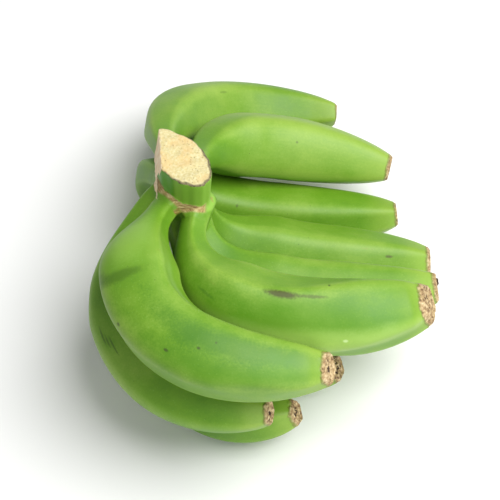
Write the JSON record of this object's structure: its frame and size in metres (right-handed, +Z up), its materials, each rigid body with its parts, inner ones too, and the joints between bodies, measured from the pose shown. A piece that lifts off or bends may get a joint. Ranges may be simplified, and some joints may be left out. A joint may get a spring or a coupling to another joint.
{
  "type": "hand of green bananas",
  "caption": "Hand of unripe green bananas on a cut crown, lying on a table with the cut face up and the fingers curving to one side.",
  "frame": {"origin": "on the table, under the middle of the hand's bounding box", "axes": "+Z up, +X towards the blossom ends of the fingers, +Y along the row of fingers, away from the nearest one"},
  "size_m": [0.192, 0.268, 0.12],
  "materials": {
    "green_peel": "waxy satin",
    "crown_skin": "waxy satin"
  },
  "bodies": {
    "root": {"crown": "crown_skin", "finger_01_rear": "green_peel", "finger_02_rear_top": "green_peel", "finger_03_middle": "green_peel", "finger_04_middle": "green_peel", "finger_05_middle": "green_peel", "finger_06_front": "green_peel", "finger_07_front_top": "green_peel", "finger_08_front": "green_peel", "finger_09_front_under": "green_peel", "finger_10_inner": "green_peel"}
  },
  "joints": []
}
